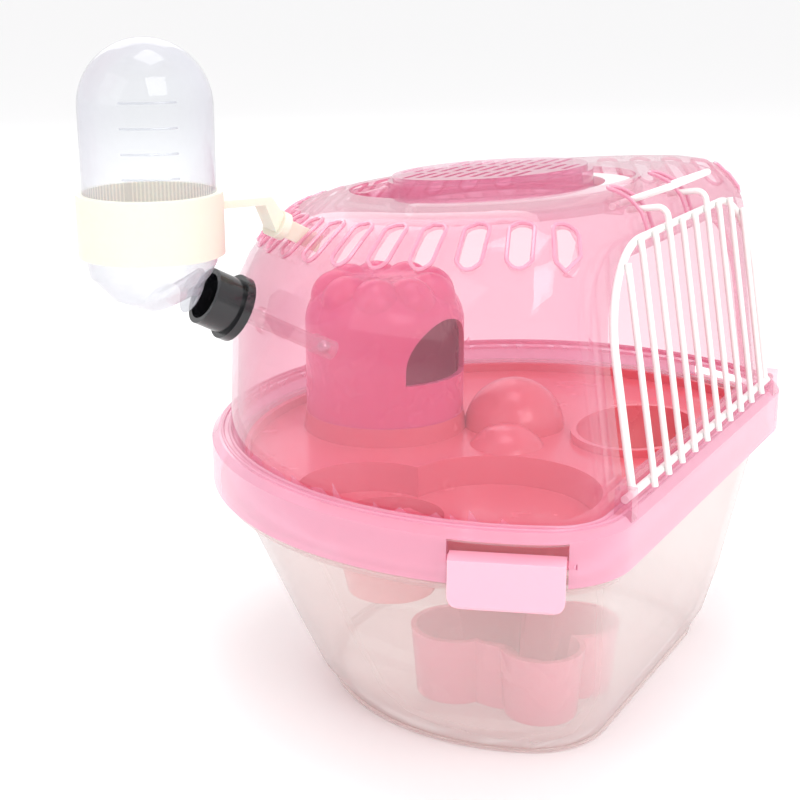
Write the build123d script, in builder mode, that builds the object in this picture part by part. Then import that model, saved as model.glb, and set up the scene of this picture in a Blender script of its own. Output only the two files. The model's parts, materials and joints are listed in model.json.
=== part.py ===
"""A hand-carried hamster cage, in millimetres.

The front door faces -Y, +Z is up, and the origin is the middle of the flat underside of the base.
"""
from build123d import *
import math
import os

# ---------------------------------------------------------------- driving dimensions
BAR_PITCH = 11.5  # spacing of the door's upright wires, which sets the width of the front
BAR_COUNT = 10

# Plan: a round back closed by a straight front, measured on the flange's outer edge.
PLAN_RADIUS = 103.5
PLAN_CENTRE_Y = -22.0
FRONT_Y = -81.5
FRONT_CORNER_RADIUS = 28.0
SMALLEST_CORNER_RADIUS = 12.0
DOME_CORNER_RADIUS = 16.0

# Base tub
TUB_SECTIONS = (  # z, inset of the round side, inset of the straight front
    (0.0, 39.0, 19.0),
    (9.0, 32.0, 14.5),
    (24.0, 25.0, 11.5),
    (66.0, 6.5, 6.5),
)
TUB_CORNER = 25.0
FOOT_ROUND = 4.0
TUB_WALL = 2.0
TUB_SHOULDER_Z = TUB_SECTIONS[-1][0]
LIP_TOP_Z = 69.0
LIP_INSET = 2.5
UPSTAND_INSET = 7.0
UPSTAND_TOP_Z = 78.0
LEDGE_WIDTH = 4.0
LEDGE_TOP_Z = 72.0
LEDGE_THICKNESS = 2.0

# Upper deck
DECK_INSET = UPSTAND_INSET + TUB_WALL + 1.0
DECK_THICKNESS = 2.2
DECK_TOP_Z = LEDGE_TOP_Z + DECK_THICKNESS
DECK_LIP_HEIGHT = 3.0
DECK_LIP_WIDTH = 1.8
BASINS = (  # x, y, radius, depth
    (-42.0, -29.0, 31.0, 9.0),
    (-58.0, 6.0, 22.0, 9.0),
    (-56.0, 0.0, 18.0, 30.0),
)
BASIN_TAPER = 12.0
HUMPS = ((19.0, -6.0, 17.0, 16.0), (-2.0, -13.0, 12.0, 6.5))  # x, y, radius, height
HOLE_CENTRE = (29.0, -46.0)
HOLE_SEMI_AXES = (25.0, 19.0)
HOLE_RIM_HEIGHT = 2.5
HOLE_RIM_WIDTH = 2.0
HOLE_WELL_DEPTH = 14.0
PEDESTAL_RADIUS = 27.5
PEDESTAL_HEIGHT = 6.0

# Play house on the deck
HOUSE_CENTRE = (-1.0, 33.0)
HOUSE_RADIUS = 26.5
HOUSE_HEIGHT = 45.0
HOUSE_WALL = 1.8
HOUSE_ROOF_ROUND = 15.0
HOUSE_LOBES = 9
HOUSE_LOBE_RADIUS = 9.0
HOUSE_LOBE_REACH = 15.5
HOUSE_LOBE_Z = 38.0
DOORWAY_ANGLE = 260.0
DOORWAY_WIDTH = 31.0
DOORWAY_TOP = 34.0
DOORWAY_SILL = 14.0

# Food bowl on the floor: a ring of lobes
BOWL_CENTRE = (-25.0, -28.0)
BOWL_HEIGHT = 22.0
BOWL_WALL = 1.6
BOWL_LOBES = (
    (0.0, 0.0, 19.5),
    (-10.5, 16.0, 14.0),
    (11.5, 15.0, 13.5),
    (-11.5, -14.0, 13.0),
    (10.5, -16.0, 13.5),
)
BOWL_TAPER = 5.0

# Dome cover
SKIN = 2.0
FLANGE_TOP_Z = 84.0
FLANGE_SHELF = 2.0
SKIRT_WALL = 4.5
SKIRT_CHAMFER = 2.0
WALL_INSET = 5.9
WALL_DRAW = 1.6  # how far the wall leans in before the shoulder
SHOULDER_Z = 121.0
SHOULDER_WIDTH = 31.0
SHOULDER_HEIGHT = 38.0
ROOF_Z = SHOULDER_Z + SHOULDER_HEIGHT
ROOF_Y = -4.6
ROOF_TILT = 4.9  # the roof rises toward the door
DOOR_LEAN = 9.75
FRONT_WALL_Y = -75.0
FRONT_ROUND = 14.0
FRONT_ROUND_START_Z = 152.0
SHOULDER_STEPS = (0.0, 12.0, 24.0, 35.0, 46.0, 56.0, 66.0, 75.0, 83.0, 90.0)

# Door opening in the dome
OPENING_WIDTH = 117.0
OPENING_LOW = 1.0  # along the door from its hinge
OPENING_HIGH = 60.0
OPENING_CORNER = 25.0
OPENING_INWARD = 30.0

# Vent slots round the shoulder
VENT_COUNT = 28
VENT_FIRST = -29.0
VENT_LAST = 209.0
VENT_WIDTH = 6.0
VENT_LENGTH = 16.0
VENT_SHOULDER_ANGLE = 57.0

# Roof recess, vent lid and carry handle, in the tilted roof plane
RECESS_SEMI_AXES = (39.5, 46.0)
RECESS_DEPTH = 6.0
VENT_HOLE_SEMI_AXES = (25.0, 28.0)
LID_SEMI_AXES = (30.5, 32.5)
LID_FLANGE = 2.2
LID_FLANGE_THICKNESS = 1.8
LID_RISE = 4.0
LID_WALL = 1.8
LID_STEP = 1.6
LID_SKIRT_CLEARANCE = 0.6
LID_HINGE_Y = 39.0
LID_HINGE_HALF = 12.0
LID_PIN_RADIUS = 1.1
LID_PIN_LENGTH = 2.4
LID_PIN_HEIGHT = 2.6
LID_LUG_WIDTH = 3.4
GRILLE_SLOT = (12.5, 2.0)
GRILLE_PITCH_Y = 4.6
GRILLE_ROWS = (-15.6, 0.0, 15.6)
HANDLE_OUTER = (38.6, 45.0)
HANDLE_INNER = (34.4, 36.0)
HANDLE_THICKNESS = 3.2
HANDLE_LIFT = 0.8  # rests this far above the recess floor
HANDLE_PIVOT_Y = 7.0
HANDLE_PIN_RADIUS = 1.5
HANDLE_PIN_LENGTH = 4.4
HANDLE_BORE_LENGTH = 8.0
HANDLE_PIN_START = 36.4
RUNNING_FIT = 0.08

# Wire door
FRAME_WIRE = 1.15  # wire radii
BAR_WIRE = 0.95
HINGE_Y = -78.6
HINGE_Z = FLANGE_TOP_Z + 4.2
DOOR_HALF = BAR_PITCH * (BAR_COUNT + 1) / 2
DOOR_HEIGHT = 65.0
DOOR_CORNER = 28.0
BAR_NUB = 1.6  # how far the uprights pass below the hinge wire
HINGE_LUG = (4.5, 5.0, 9.0)  # along X, Y and Z
HINGE_LUG_START = 65.6
HINGE_WIRE_HALF = 69.0
HOOK_BARS = (-1.5, 1.5)  # in bar pitches from the middle
HOOK_RISE = 6.0
HOOK_BEND = 3.0
HOOK_REACH = 9.0
HOOK_SLOT_WIDTH = 3.2
HOOK_SLOT_Y = (-78.0, -52.5)
HOOK_SLOT_Z = (153.0, 168.0)

# Finger latch wire above the door
LATCH_PIVOT = (-54.5, 158.2)  # y, z
LATCH_BRIDGE = (-69.5, 164.2)
LATCH_BEND = 1.6
LATCH_WIRE = 1.0
LATCH_STUB = 6.4
LATCH_LUG = (2.6, 5.0, 6.0)
LATCH_LUG_START = 20.4

# Side latches between dome and base
SIDE_LATCH_ANGLE = 200.0  # the left one; the right one mirrors it
SIDE_LATCH_WIDTH = 31.0
SIDE_LATCH_LOW_Z = 62.5
SIDE_LATCH_PIN_Z = 75.0
SIDE_LATCH_PIN_IN = 3.9
SIDE_LATCH_PIN_RADIUS = 1.2
SIDE_LATCH_PIN_LENGTH = 2.2
SIDE_LATCH_BARREL = 2.2
SIDE_LATCH_PLATE = 2.4
SIDE_LATCH_FACE = 1.2
NOTCH_SIDE_GAP = 0.5
NOTCH_LOW_Z = 68.0
NOTCH_HIGH_Z = 81.5

# Water bottle, in the upright plane through the plan centre at this angle
BOTTLE_ANGLE = VENT_FIRST + 20 * (VENT_LAST - VENT_FIRST) / (VENT_COUNT - 1)
BOTTLE_AXIS = 126.0  # radius of the bottle's own axis from the plan centre
BOTTLE_RADIUS = 18.0
BOTTLE_ELBOW_Z = 151.0
BOTTLE_TOP_Z = 207.0
BOTTLE_WALL = 1.2
SPOUT_DROP = 28.0  # degrees below level, toward the inside
SPOUT_MEET_Z = 144.0
ELBOW = (  # outer and inner edge of each section down to the neck, from the bottle's axis and z
    ((17.0, 144.0), (-17.6, 147.5)),
    ((11.0, 137.5), (-16.4, 145.0)),
    ((2.5, 134.0), (-15.3, 143.8)),
)
NECK_RADIUS = 6.6
NECK_START = 12.5
NECK_END = 23.3
CAP_START = 16.5
CAP_END = 27.3
CAP_RADIUS = 8.2
CAP_FLANGE_RADIUS = 9.6
CAP_FLANGE = 2.6
SEAL_THICKNESS = 1.4
SPOUT_RADIUS = 2.3
SPOUT_BORE = 1.5
SPOUT_END = 61.0
SPOUT_TIP_RADIUS = 2.9
SPOUT_TIP_LENGTH = 7.0
SPOUT_LIP = 0.8
BALL_RADIUS = 2.0
WALL_HOLE_RADIUS = 3.6
BAND_CENTRE_Z = 158.0
BAND_HEIGHT = 17.0
BAND_WALL = 1.8
ARM_WIDTH = 9.0
ARM_THICKNESS = 2.2
ARM_Z = 163.0
PLUG_WIDTH = 4.4
PLUG_DEPTH = 5.2
PLUG_IN = 6.0
PLUG_OUT = 9.0
PLUG_CAP = (13.0, 8.0, 2.4)  # width, depth and thickness of the plug's stop


def outline(inset, plane, front=None, smallest=SMALLEST_CORNER_RADIUS):
    """The cage's plan drawn on a plane whose origin may sit anywhere along Y."""
    centre = PLAN_CENTRE_Y - plane.origin.Y
    edge = FRONT_Y + inset if front is None else front
    radius = PLAN_RADIUS - inset
    with BuildSketch(plane) as plan:
        with Locations((0, centre)):
            Circle(radius)
        with Locations((0, edge - plane.origin.Y)):
            Rectangle(4 * radius, 4 * radius, align=(Align.CENTER, Align.MIN), mode=Mode.INTERSECT)
        fillet(plan.vertices(), radius=max(FRONT_CORNER_RADIUS - inset, smallest))
    return plan.sketch


def level(z):
    """A flat plane at height z."""
    return Plane.XY.offset(z)


ROOF = Plane(
    origin=(0, ROOF_Y, ROOF_Z),
    x_dir=(1, 0, 0),
    z_dir=(0, math.sin(math.radians(ROOF_TILT)), math.cos(math.radians(ROOF_TILT))),
)
DOOR_PLANE = Plane(
    origin=(0, HINGE_Y, HINGE_Z),
    x_dir=(1, 0, 0),
    z_dir=(0, -math.cos(math.radians(DOOR_LEAN)), math.sin(math.radians(DOOR_LEAN))),
)


def radial_plane(angle):
    """Upright plane through the plan centre: local X runs outward and local Y runs up."""
    along = math.radians(angle)
    return Plane(
        origin=(0, PLAN_CENTRE_Y, 0),
        x_dir=(math.cos(along), math.sin(along), 0),
        z_dir=(math.sin(along), -math.cos(along), 0),
    )


# ---------------------------------------------------------------- base tub
def tub_sections(wall):
    """The tub's outlines from the floor up, drawn 'wall' inside its outer face."""
    faces = []
    for z, inset, front in TUB_SECTIONS:
        plane = level(max(z, wall))
        faces.append(outline(inset + wall, plane, FRONT_Y + front + wall, TUB_CORNER - wall).face())
    return faces


with BuildPart() as base_tub:
    loft(tub_sections(0), ruled=True)
    fillet(base_tub.edges().group_by(Axis.Z)[0], radius=FOOT_ROUND)
    extrude(outline(LIP_INSET, level(TUB_SHOULDER_Z)), amount=LIP_TOP_Z - TUB_SHOULDER_Z)
    extrude(outline(UPSTAND_INSET, level(LIP_TOP_Z)), amount=UPSTAND_TOP_Z - LIP_TOP_Z)
    loft(tub_sections(TUB_WALL), ruled=True, mode=Mode.SUBTRACT)
    extrude(
        outline(UPSTAND_INSET + TUB_WALL, level(TUB_SHOULDER_Z)),
        amount=UPSTAND_TOP_Z - TUB_SHOULDER_Z,
        mode=Mode.SUBTRACT,
    )
    extrude(outline(UPSTAND_INSET + 1, level(LEDGE_TOP_Z)), amount=-LEDGE_THICKNESS)
    extrude(
        outline(UPSTAND_INSET + TUB_WALL + LEDGE_WIDTH, level(LEDGE_TOP_Z)),
        amount=-LEDGE_THICKNESS,
        mode=Mode.SUBTRACT,
    )
base_tub.part.label = "base_tub"


# ---------------------------------------------------------------- upper deck
def basin(x, y, radius, depth, grow, mode):
    """A tapered dish hanging from the deck, grown outward by its wall when solid."""
    with BuildSketch(Plane(origin=(x, y, DECK_TOP_Z))) as mouth:
        Circle(radius + grow)
    extrude(mouth.sketch, amount=-(depth + grow), taper=BASIN_TAPER, mode=mode)


with BuildPart() as upper_deck:
    extrude(outline(DECK_INSET, level(LEDGE_TOP_Z)), amount=DECK_THICKNESS + DECK_LIP_HEIGHT)
    extrude(
        outline(DECK_INSET + DECK_LIP_WIDTH, level(DECK_TOP_Z)),
        amount=DECK_LIP_HEIGHT,
        mode=Mode.SUBTRACT,
    )
    for dish in BASINS:
        basin(*dish, DECK_THICKNESS, Mode.ADD)
    for dish in BASINS:
        basin(*dish, 0, Mode.SUBTRACT)
    with BuildSketch(level(LEDGE_TOP_Z - HOLE_WELL_DEPTH)) as rim:
        with Locations(HOLE_CENTRE):
            Ellipse(HOLE_SEMI_AXES[0] + HOLE_RIM_WIDTH, HOLE_SEMI_AXES[1] + HOLE_RIM_WIDTH)
    extrude(amount=HOLE_WELL_DEPTH + DECK_THICKNESS + HOLE_RIM_HEIGHT)
    with BuildSketch(level(LEDGE_TOP_Z - HOLE_WELL_DEPTH)) as hole:
        with Locations(HOLE_CENTRE):
            Ellipse(*HOLE_SEMI_AXES)
    extrude(amount=HOLE_WELL_DEPTH + DECK_THICKNESS + HOLE_RIM_HEIGHT, mode=Mode.SUBTRACT)
    with BuildSketch(level(DECK_TOP_Z)) as pedestal:
        with Locations(HOUSE_CENTRE):
            Circle(PEDESTAL_RADIUS)
    extrude(amount=PEDESTAL_HEIGHT, taper=8)
    for x, y, radius, height in HUMPS:
        ball = (radius**2 + height**2) / (2 * height)
        half_way = DECK_TOP_Z + height - ball + math.sqrt(ball**2 - radius**2 / 4)
        with BuildSketch(Plane.XZ.offset(-y)) as hump:
            with BuildLine():
                arc = ThreePointArc(
                    (x, DECK_TOP_Z + height),
                    (x + radius / 2, half_way),
                    (x + radius, DECK_TOP_Z),
                )
                Line(arc @ 1, (x, DECK_TOP_Z))
                Line((x, DECK_TOP_Z), arc @ 0)
            make_face()
        revolve(hump.sketch, axis=Axis((x, y, 0), (0, 0, 1)))
upper_deck.part.label = "upper_deck"


# ---------------------------------------------------------------- play house
HOUSE_FLOOR = Plane(origin=(*HOUSE_CENTRE, DECK_TOP_Z + PEDESTAL_HEIGHT))


def rounded_drum(radius, height, top_round):
    """An upright drum on the house's floor with a rounded top."""
    with BuildPart(mode=Mode.PRIVATE) as drum:
        with BuildSketch(HOUSE_FLOOR):
            Circle(radius)
        extrude(amount=height)
        fillet(drum.edges().group_by(Axis.Z)[-1], radius=top_round)
    return drum.part


with BuildPart() as play_house:
    add(rounded_drum(HOUSE_RADIUS, HOUSE_HEIGHT, HOUSE_ROOF_ROUND))
    with Locations(HOUSE_FLOOR.offset(HOUSE_LOBE_Z)):
        with PolarLocations(HOUSE_LOBE_REACH, HOUSE_LOBES):
            Sphere(HOUSE_LOBE_RADIUS)
    add(
        rounded_drum(HOUSE_RADIUS - HOUSE_WALL, HOUSE_HEIGHT - HOUSE_WALL, HOUSE_ROOF_ROUND - HOUSE_WALL),
        mode=Mode.SUBTRACT,
    )
    turn = math.radians(DOORWAY_ANGLE)
    front = Plane(
        origin=(*HOUSE_CENTRE, HOUSE_FLOOR.origin.Z),
        x_dir=(-math.sin(turn), math.cos(turn), 0),
        z_dir=(math.cos(turn), math.sin(turn), 0),
    )
    with BuildSketch(front):
        with Locations((0, DOORWAY_SILL)):
            Rectangle(
                DOORWAY_WIDTH,
                DOORWAY_TOP - DOORWAY_SILL - DOORWAY_WIDTH / 2,
                align=(Align.CENTER, Align.MIN),
            )
        with Locations((0, DOORWAY_TOP - DOORWAY_WIDTH / 2)):
            Circle(DOORWAY_WIDTH / 2)
        with Locations((0, DOORWAY_SILL)):
            Rectangle(2 * DOORWAY_WIDTH, DOORWAY_WIDTH, align=(Align.CENTER, Align.MAX), mode=Mode.SUBTRACT)
    extrude(amount=2 * HOUSE_RADIUS, mode=Mode.SUBTRACT)
play_house.part.label = "play_house"


# ---------------------------------------------------------------- floor bowl
def cloud(z, grow):
    """The bowl's lobed outline at height z."""
    with BuildSketch(Plane(origin=(*BOWL_CENTRE, z))) as lobes:
        for x, y, radius in BOWL_LOBES:
            with Locations((x, y)):
                Circle(radius + grow)
    return lobes.sketch


with BuildPart() as floor_bowl:
    extrude(cloud(TUB_WALL, -BOWL_WALL), amount=BOWL_HEIGHT, taper=-BOWL_TAPER)
    extrude(
        cloud(TUB_WALL + BOWL_WALL, -2 * BOWL_WALL),
        amount=BOWL_HEIGHT,
        taper=-BOWL_TAPER,
        mode=Mode.SUBTRACT,
    )
floor_bowl.part.label = "floor_bowl"


# ---------------------------------------------------------------- dome cover
def shoulder_section(angle, skin):
    """One outline of the dome: angle 0 is the top of the wall and 90 is the roof."""
    turn = math.radians(angle)
    inset = WALL_INSET + WALL_DRAW + skin + (SHOULDER_WIDTH - skin) * (1 - math.cos(turn))
    z = SHOULDER_Z + (SHOULDER_HEIGHT - skin) * math.sin(turn)
    tilt = math.radians(ROOF_TILT) * (z - FLANGE_TOP_Z) / (ROOF_Z - FLANGE_TOP_Z)
    front = FRONT_WALL_Y + skin + (z - FLANGE_TOP_Z) * math.tan(math.radians(DOOR_LEAN))
    front_z = z + (ROOF_Y - front) * math.sin(tilt)
    highest = ROOF_Z - skin + (ROOF_Y - front) * math.sin(math.radians(ROOF_TILT))
    share = max(0.0, (front_z - FRONT_ROUND_START_Z) / (highest - FRONT_ROUND_START_Z))
    front += FRONT_ROUND * (1 - math.sqrt(1 - min(share, 1.0) ** 2))
    plane = Plane(
        origin=(0, ROOF_Y, z),
        x_dir=(1, 0, 0),
        z_dir=(0, math.sin(tilt), math.cos(tilt)),
    )
    return outline(inset, plane, front, DOME_CORNER_RADIUS - skin)


def dome_solid(skin):
    """The filled dome, drawn 'skin' inside its outer face."""
    low = level(FLANGE_TOP_Z - FLANGE_SHELF)
    foot = outline(WALL_INSET + skin, low, FRONT_WALL_Y + skin, DOME_CORNER_RADIUS - skin)
    return [foot.face()] + [shoulder_section(angle, skin).face() for angle in SHOULDER_STEPS]


def oval(plane, semi_axes, grow=0.0):
    """An oval centred on a plane."""
    with BuildSketch(plane) as shape:
        Ellipse(semi_axes[0] + grow, semi_axes[1] + grow)
    return shape.sketch


def vent_plane(angle):
    """A plane lying on the shoulder, its X axis round the dome and its Z axis outward."""
    turn = math.radians(VENT_SHOULDER_ANGLE)
    around = math.radians(angle)
    reach = PLAN_RADIUS - WALL_INSET - WALL_DRAW - SHOULDER_WIDTH * (1 - math.cos(turn))
    z = SHOULDER_Z + SHOULDER_HEIGHT * math.sin(turn)
    y = PLAN_CENTRE_Y + reach * math.sin(around)
    z += (ROOF_Y - y) * math.sin(math.radians(ROOF_TILT)) * (z - FLANGE_TOP_Z) / (ROOF_Z - FLANGE_TOP_Z)
    rise = math.atan2(math.sin(turn) / SHOULDER_HEIGHT, math.cos(turn) / SHOULDER_WIDTH)
    outward = (
        math.cos(rise) * math.cos(around),
        math.cos(rise) * math.sin(around),
        math.sin(rise),
    )
    return Plane(
        origin=(reach * math.cos(around), y, z),
        x_dir=(-math.sin(around), math.cos(around), 0),
        z_dir=outward,
    )


def side_latch_plane(angle):
    """Origin on the flange edge at floor level, local X outward, local Y along the edge, Z up."""
    around = math.radians(angle)
    return Plane(
        origin=(PLAN_RADIUS * math.cos(around), PLAN_CENTRE_Y + PLAN_RADIUS * math.sin(around), 0),
        x_dir=(math.cos(around), math.sin(around), 0),
        z_dir=(0, 0, 1),
    )


LATCH_SIDES = (SIDE_LATCH_ANGLE, 180 - SIDE_LATCH_ANGLE)
SPOUT_TURN = math.radians(SPOUT_DROP)
BOTTLE_PLANE = radial_plane(BOTTLE_ANGLE)
SPOUT_AXIS = Axis(
    BOTTLE_PLANE.from_local_coords(Vector(BOTTLE_AXIS, SPOUT_MEET_Z, 0)),
    -BOTTLE_PLANE.x_dir * math.cos(SPOUT_TURN) - BOTTLE_PLANE.y_dir * math.sin(SPOUT_TURN),
)


def spout_plane(distance):
    """A plane across the spout axis, 'distance' from the bottle's own axis, facing the cage."""
    return Plane(origin=SPOUT_AXIS.position + SPOUT_AXIS.direction * distance, z_dir=SPOUT_AXIS.direction)


def box(x, y, z):
    """A block between two limits along each axis."""
    with BuildPart(mode=Mode.PRIVATE) as block:
        with Locations((x[0], y[0], z[0])):
            Box(x[1] - x[0], y[1] - y[0], z[1] - z[0], align=(Align.MIN, Align.MIN, Align.MIN))
    return block.part


def disc(plane, radius):
    """A circle on a plane."""
    with BuildSketch(plane) as section:
        Circle(radius)
    return section.sketch


def across(x, y, z):
    """A plane facing +X at a point, for pins and holes that run along X."""
    return Plane(origin=(x, y, z), x_dir=(0, 1, 0), z_dir=(1, 0, 0))


HANDLE_PIVOT = ROOF.from_local_coords(
    Vector(0, HANDLE_PIVOT_Y, HANDLE_LIFT + HANDLE_THICKNESS / 2 - RECESS_DEPTH)
)
LID_PIVOT = ROOF.from_local_coords(Vector(0, LID_HINGE_Y, LID_PIN_HEIGHT - RECESS_DEPTH))
HOOK_X = tuple(place * BAR_PITCH for place in HOOK_BARS)

with BuildPart() as dome_openings:
    for index in range(VENT_COUNT):
        angle = VENT_FIRST + index * (VENT_LAST - VENT_FIRST) / (VENT_COUNT - 1)
        with BuildSketch(vent_plane(angle).offset(-3 * SKIN)):
            SlotOverall(VENT_LENGTH, VENT_WIDTH, rotation=90)
        extrude(amount=6 * SKIN)
    with BuildSketch(DOOR_PLANE.offset(10)) as doorway:
        with Locations((0, OPENING_LOW)):
            Rectangle(OPENING_WIDTH, OPENING_HIGH - OPENING_LOW, align=(Align.CENTER, Align.MIN))
        fillet(doorway.vertices().group_by(Axis.Y)[-1], radius=OPENING_CORNER)
    extrude(amount=-(10 + OPENING_INWARD))
    for x in HOOK_X:
        add(box((x - HOOK_SLOT_WIDTH / 2, x + HOOK_SLOT_WIDTH / 2), HOOK_SLOT_Y, HOOK_SLOT_Z))
    extrude(disc(spout_plane(BOTTLE_AXIS - PLAN_RADIUS), WALL_HOLE_RADIUS), amount=24)

with BuildPart() as dome_cover:
    extrude(outline(0, level(LIP_TOP_Z)), amount=FLANGE_TOP_Z - LIP_TOP_Z)
    chamfer(dome_cover.edges().group_by(Axis.Z)[-1], length=SKIRT_CHAMFER)
    extrude(
        outline(SKIRT_WALL, level(LIP_TOP_Z)),
        amount=FLANGE_TOP_Z - FLANGE_SHELF - LIP_TOP_Z,
        mode=Mode.SUBTRACT,
    )
    loft(dome_solid(0), ruled=True)
    loft(dome_solid(SKIN), ruled=True, mode=Mode.SUBTRACT)
    extrude(oval(ROOF, RECESS_SEMI_AXES, SKIN), amount=-(RECESS_DEPTH + SKIN))
    extrude(oval(ROOF.offset(-RECESS_DEPTH), RECESS_SEMI_AXES), amount=3 * RECESS_DEPTH, mode=Mode.SUBTRACT)
    extrude(oval(ROOF, VENT_HOLE_SEMI_AXES), amount=-3 * RECESS_DEPTH, mode=Mode.SUBTRACT)
    # lugs that carry the lid's pins, standing in the recess
    with BuildSketch(ROOF.offset(-RECESS_DEPTH)):
        lug_x = LID_HINGE_HALF + LID_LUG_WIDTH / 2 + 0.3
        with Locations((-lug_x, LID_HINGE_Y), (lug_x, LID_HINGE_Y)):
            Rectangle(LID_LUG_WIDTH, 2 * LID_PIN_HEIGHT)
    extrude(amount=LID_PIN_HEIGHT + 2.2)
    # lugs for the door's hinge wire and for the finger latch
    for side in (-1, 1):
        near, far = sorted((side * HINGE_LUG_START, side * (HINGE_LUG_START + HINGE_LUG[0])))
        add(
            box(
                (near, far),
                (HINGE_Y - HINGE_LUG[1] / 2, HINGE_Y + HINGE_LUG[1] / 2),
                (FLANGE_TOP_Z - SKIRT_CHAMFER, FLANGE_TOP_Z - SKIRT_CHAMFER + HINGE_LUG[2]),
            )
        )
        near, far = sorted((side * LATCH_LUG_START, side * (LATCH_LUG_START + LATCH_LUG[0])))
        add(
            box(
                (near, far),
                (LATCH_PIVOT[0] - LATCH_LUG[1] / 2, LATCH_PIVOT[0] + LATCH_LUG[1] / 2),
                (LATCH_PIVOT[1] - 2.4, LATCH_PIVOT[1] + 2.2),
            )
        )
    add(dome_openings.part, mode=Mode.SUBTRACT)
    # pin holes that run along X
    for y, z, radius in (
        (HINGE_Y, HINGE_Z, FRAME_WIRE),
        (LATCH_PIVOT[0], LATCH_PIVOT[1], LATCH_WIRE),
        (LID_PIVOT.Y, LID_PIVOT.Z, LID_PIN_RADIUS),
    ):
        width = HINGE_WIRE_HALF + 0.3 if radius == FRAME_WIRE else 28
        extrude(disc(across(-width, y, z), radius + RUNNING_FIT), amount=2 * width, mode=Mode.SUBTRACT)
    for side in (-1, 1):
        mouth = across(side * HANDLE_PIN_START, HANDLE_PIVOT.Y, HANDLE_PIVOT.Z)
        bore = disc(mouth, HANDLE_PIN_RADIUS + RUNNING_FIT)
        extrude(bore, amount=side * HANDLE_BORE_LENGTH, mode=Mode.SUBTRACT)
    # notches and pin holes for the side latches
    for angle in LATCH_SIDES:
        seat = side_latch_plane(angle)
        half = SIDE_LATCH_WIDTH / 2 + NOTCH_SIDE_GAP
        with BuildSketch(seat.offset(NOTCH_LOW_Z)):
            Rectangle(24, 2 * half)
        extrude(amount=NOTCH_HIGH_Z - NOTCH_LOW_Z, mode=Mode.SUBTRACT)
        centre = seat.from_local_coords(Vector(-SIDE_LATCH_PIN_IN, 0, SIDE_LATCH_PIN_Z))
        bore = Plane(origin=centre, x_dir=(0, 0, 1), z_dir=seat.y_dir)
        extrude(
            disc(bore, SIDE_LATCH_PIN_RADIUS + RUNNING_FIT),
            amount=half + SIDE_LATCH_PIN_LENGTH,
            both=True,
            mode=Mode.SUBTRACT,
        )
dome_cover.part.label = "dome_cover"


# ---------------------------------------------------------------- side latches
def side_latch(angle):
    """A flap hung on two moulded pins, closing down over the lip of the base."""
    seat = side_latch_plane(angle)
    profile_plane = Plane(origin=seat.origin, x_dir=seat.x_dir, z_dir=-seat.y_dir)
    with BuildPart() as latch:
        with BuildSketch(profile_plane):
            with BuildLine():
                Polyline(
                    (SIDE_LATCH_FACE, SIDE_LATCH_PIN_Z + 1.4),
                    (SIDE_LATCH_FACE, SIDE_LATCH_LOW_Z + 1),
                    (SIDE_LATCH_FACE - 1, SIDE_LATCH_LOW_Z),
                    (SIDE_LATCH_FACE - SIDE_LATCH_PLATE, SIDE_LATCH_LOW_Z),
                    (SIDE_LATCH_FACE - SIDE_LATCH_PLATE, SIDE_LATCH_PIN_Z - SIDE_LATCH_BARREL),
                    (-SIDE_LATCH_PIN_IN, SIDE_LATCH_PIN_Z - SIDE_LATCH_BARREL),
                    (-SIDE_LATCH_PIN_IN, SIDE_LATCH_PIN_Z + SIDE_LATCH_BARREL),
                    (SIDE_LATCH_FACE - SIDE_LATCH_PLATE, SIDE_LATCH_PIN_Z + SIDE_LATCH_BARREL),
                    close=True,
                )
            make_face()
            with Locations((-SIDE_LATCH_PIN_IN, SIDE_LATCH_PIN_Z)):
                Circle(SIDE_LATCH_BARREL)
        extrude(amount=SIDE_LATCH_WIDTH / 2, both=True)
        centre = seat.from_local_coords(Vector(-SIDE_LATCH_PIN_IN, 0, SIDE_LATCH_PIN_Z))
        pins = Plane(origin=centre, x_dir=(0, 0, 1), z_dir=seat.y_dir)
        extrude(
            disc(pins, SIDE_LATCH_PIN_RADIUS),
            amount=SIDE_LATCH_WIDTH / 2 + SIDE_LATCH_PIN_LENGTH,
            both=True,
        )
        foot = latch.edges().filter_by(Axis(seat.origin, seat.x_dir)).group_by(Axis.Z)[0]
        fillet(foot, radius=4)
    return latch


left_latch, right_latch = (side_latch(angle) for angle in LATCH_SIDES)
left_latch.part.label = "left_latch"
right_latch.part.label = "right_latch"


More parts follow.
